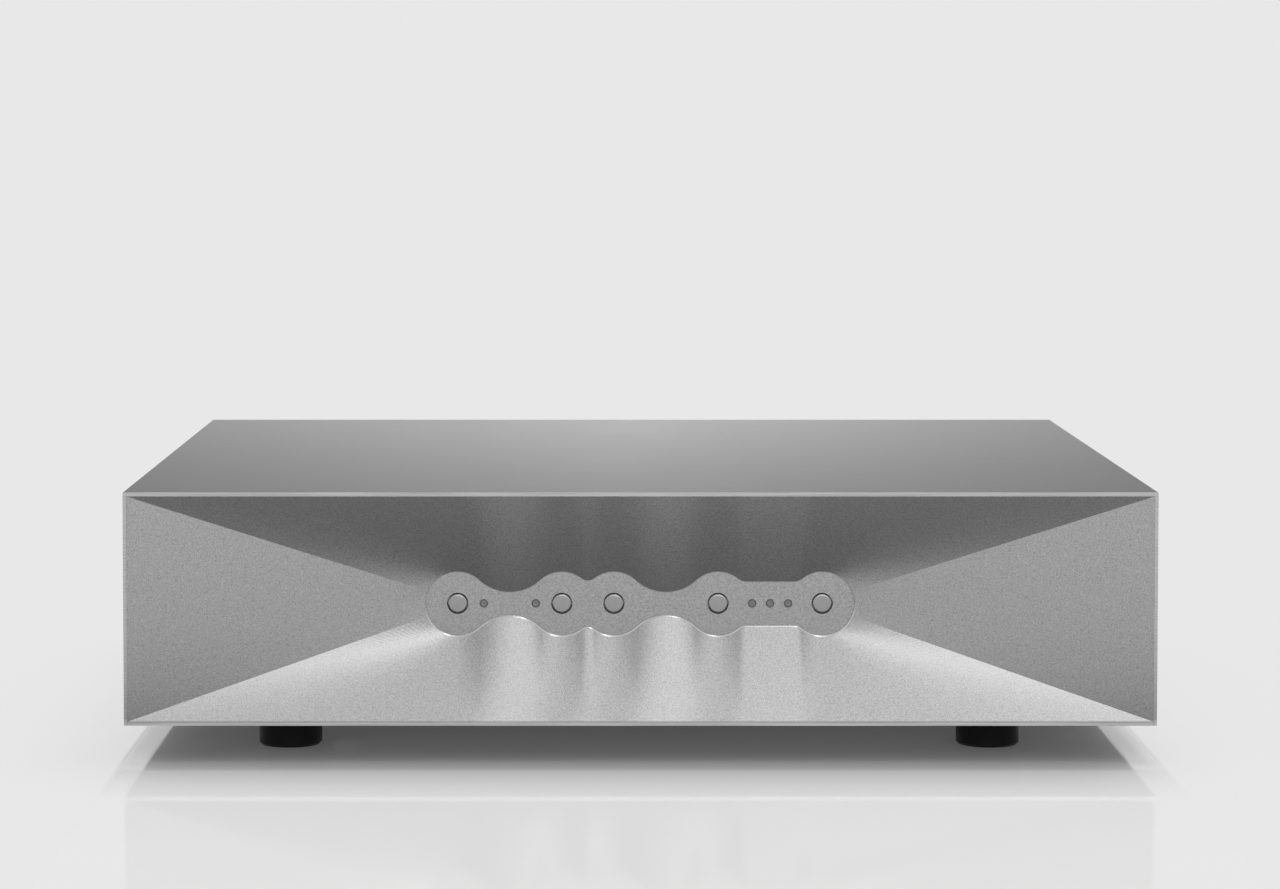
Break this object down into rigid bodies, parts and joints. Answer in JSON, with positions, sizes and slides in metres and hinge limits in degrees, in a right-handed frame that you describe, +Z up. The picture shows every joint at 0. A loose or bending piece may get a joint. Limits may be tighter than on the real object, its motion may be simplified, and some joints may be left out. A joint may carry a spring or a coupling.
{
  "type": "phono preamplifier",
  "caption": "Phono preamplifier in a low wide metal case: a carved hollow front falls to a lobed island with push buttons and indicator lights, on round feet.",
  "frame": {"origin": "centre of the whole object's footprint, on the surface that the feet stand on", "axes": "+X to the right seen from the front, +Y from the front to the rear sockets, +Z up"},
  "size_m": [0.432, 0.373, 0.113],
  "materials": {
    "front_aluminium": "bead-blasted satin",
    "cover_aluminium": "brushed along the width",
    "button_metal": "turned satin",
    "foot_rubber": "moulded matt",
    "case_screw_steel": "satin",
    "screw_steel": "zinc plated",
    "inlet_screw_black": "black oxide",
    "board_laminate": "solder mask",
    "switch_plastic": "moulded",
    "light_plastic": "smoked clear",
    "lamp_plastic": "clear",
    "ribbon_plastic": "soft",
    "can_steel": "tinned",
    "relay_plastic": "moulded",
    "film_plastic": "dipped",
    "can_sleeve": "sleeved",
    "chip_plastic": "moulded",
    "heatsink_black": "black anodised",
    "terminal_plastic": "moulded",
    "winding_film": "wrapped film",
    "pad_rubber": "sheet",
    "clamp_steel": "zinc plated",
    "inlet_plastic": "moulded",
    "blade_metal": "nickel plated",
    "fuse_glass": "glass with metal caps",
    "rocker_plastic": "moulded",
    "jack_plating": "gold plated",
    "core_white": "turned",
    "core_red": "turned",
    "post_metal": "gold plated",
    "lead_plastic": "soft sleeve"
  },
  "bodies": {
    "case": {"front_panel": "front_aluminium", "top_cover": "cover_aluminium", "bottom_tray": "cover_aluminium", "rear_panel": "cover_aluminium", "foot_front_left": "foot_rubber", "foot_front_right": "foot_rubber", "foot_rear_left": "foot_rubber", "foot_rear_right": "foot_rubber", "cover_screws": "case_screw_steel", "front_panel_screws": "case_screw_steel", "rear_panel_screws": "case_screw_steel", "foot_screws": "screw_steel", "foot_nuts": "screw_steel", "control_board_screws": "screw_steel", "board_screws": "screw_steel", "board_standoffs": "screw_steel", "jack_nuts": "screw_steel", "transformer_bolt": "screw_steel", "transformer_nut": "screw_steel", "inlet_screws": "inlet_screw_black", "control_board": "board_laminate", "main_board": "board_laminate", "power_board": "board_laminate", "push_switches": "switch_plastic", "ribbon_headers": "switch_plastic", "light_pipes": "light_plastic", "indicator_lamps": "lamp_plastic", "control_ribbon": "ribbon_plastic", "shield_can": "can_steel", "relays": "relay_plastic", "film_capacitors": "film_plastic", "signal_capacitors": "can_sleeve", "reservoir_capacitors": "can_sleeve", "amplifier_chips": "chip_plastic", "rectifier": "chip_plastic", "regulators": "chip_plastic", "heatsink": "heatsink_black", "terminal_blocks": "terminal_plastic", "transformer_winding": "winding_film", "transformer_pads": "pad_rubber", "transformer_clamp": "clamp_steel", "inlet_housing": "inlet_plastic", "rocker_frame": "inlet_plastic", "inlet_blades": "blade_metal", "input_jacks": "jack_plating", "output_jacks": "jack_plating", "jack_contacts": "jack_plating", "jack_cores_left": "core_white", "jack_cores_right": "core_red", "ground_post": "post_metal", "internal_leads": "lead_plastic"},
    "button_1": {"button_1": "button_metal"},
    "button_2": {"button_2": "button_metal"},
    "button_3": {"button_3": "button_metal"},
    "button_4": {"button_4": "button_metal"},
    "button_5": {"button_5": "button_metal"},
    "fuse_drawer": {"fuse_drawer": "inlet_plastic", "fuse": "fuse_glass"},
    "rocker": {"rocker": "rocker_plastic"},
    "ground_nut": {"ground_nut": "post_metal"}
  },
  "joints": [
    {"name": "button_1_press", "type": "slide", "parent": "case", "child": "button_1", "axis": [0, 1, 0], "range_m": [0, 0.001], "stiffness_N_per_m": 500, "springref_m": -0.002},
    {"name": "button_2_press", "type": "slide", "parent": "case", "child": "button_2", "axis": [0, 1, 0], "range_m": [0, 0.001], "stiffness_N_per_m": 500, "springref_m": -0.002},
    {"name": "button_3_press", "type": "slide", "parent": "case", "child": "button_3", "axis": [0, 1, 0], "range_m": [0, 0.001], "stiffness_N_per_m": 500, "springref_m": -0.002},
    {"name": "button_4_press", "type": "slide", "parent": "case", "child": "button_4", "axis": [0, 1, 0], "range_m": [0, 0.001], "stiffness_N_per_m": 500, "springref_m": -0.002},
    {"name": "button_5_press", "type": "slide", "parent": "case", "child": "button_5", "axis": [0, 1, 0], "range_m": [0, 0.001], "stiffness_N_per_m": 500, "springref_m": -0.002},
    {"name": "fuse_drawer_pull", "type": "slide", "parent": "case", "child": "fuse_drawer", "axis": [0, 1, 0], "range_m": [0, 0.018]},
    {"name": "rocker_tip", "type": "hinge", "parent": "case", "child": "rocker", "pos_m": [-0.117, 0.1673, 0.064], "axis": [-1, 0, 0], "range_deg": [0, 18]},
    {"name": "ground_nut_turn", "type": "hinge", "parent": "case", "child": "ground_nut", "pos_m": [0.132, 0.1765, 0.064], "axis": [0, 1, 0], "continuous": true}
  ]
}
